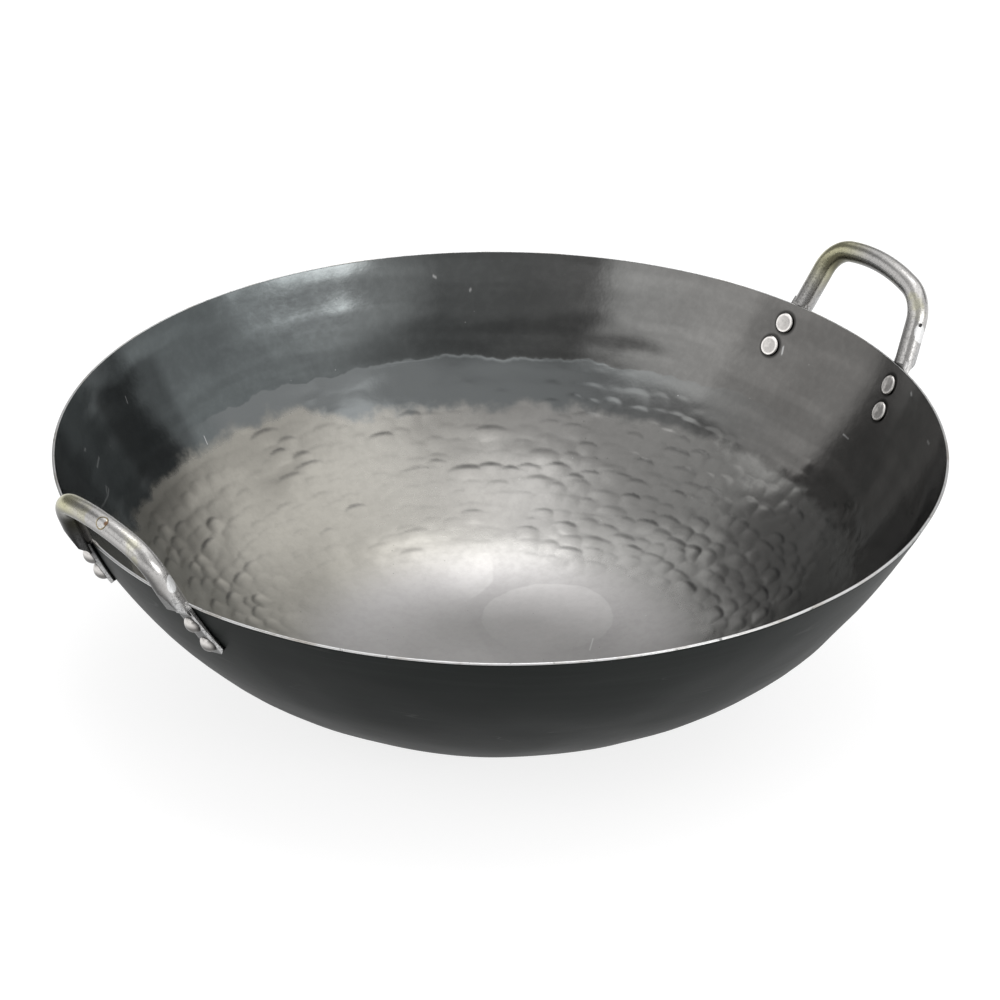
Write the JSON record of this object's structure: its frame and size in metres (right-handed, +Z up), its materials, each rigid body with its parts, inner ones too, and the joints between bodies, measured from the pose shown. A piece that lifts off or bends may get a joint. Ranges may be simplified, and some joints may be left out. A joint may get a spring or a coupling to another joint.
{
  "type": "carbon steel wok",
  "caption": "Wide round-walled carbon steel wok with a small flat bottom, a hammered inside and riveted loop handles of steel tube.",
  "frame": {"origin": "middle of the flat underside, on the surface that the wok stands on", "axes": "+Z up; the handles stand over +X (right) and -X (left); -Y is the front"},
  "size_m": [0.5298, 0.4798, 0.176],
  "materials": {
    "bowl_steel": "dark blued carbon steel under a thin clear lacquer, glossy on the plain wall, hammered below it, bare bright metal on the cut rim",
    "handle_steel": "drawn steel tube with a thin worn zinc coat, faintly yellow in the bends, fine marks along its length",
    "rivet_steel": "plain steel rivets, closed by a press, bright on the domes and matt grey on the flat inner heads"
  },
  "bodies": {
    "root": {"bowl": "bowl_steel", "handle_left": "handle_steel", "handle_right": "handle_steel", "rivet_left_front_upper": "rivet_steel", "rivet_left_front_lower": "rivet_steel", "rivet_left_back_upper": "rivet_steel", "rivet_left_back_lower": "rivet_steel", "rivet_right_front_upper": "rivet_steel", "rivet_right_front_lower": "rivet_steel", "rivet_right_back_upper": "rivet_steel", "rivet_right_back_lower": "rivet_steel"}
  },
  "joints": []
}
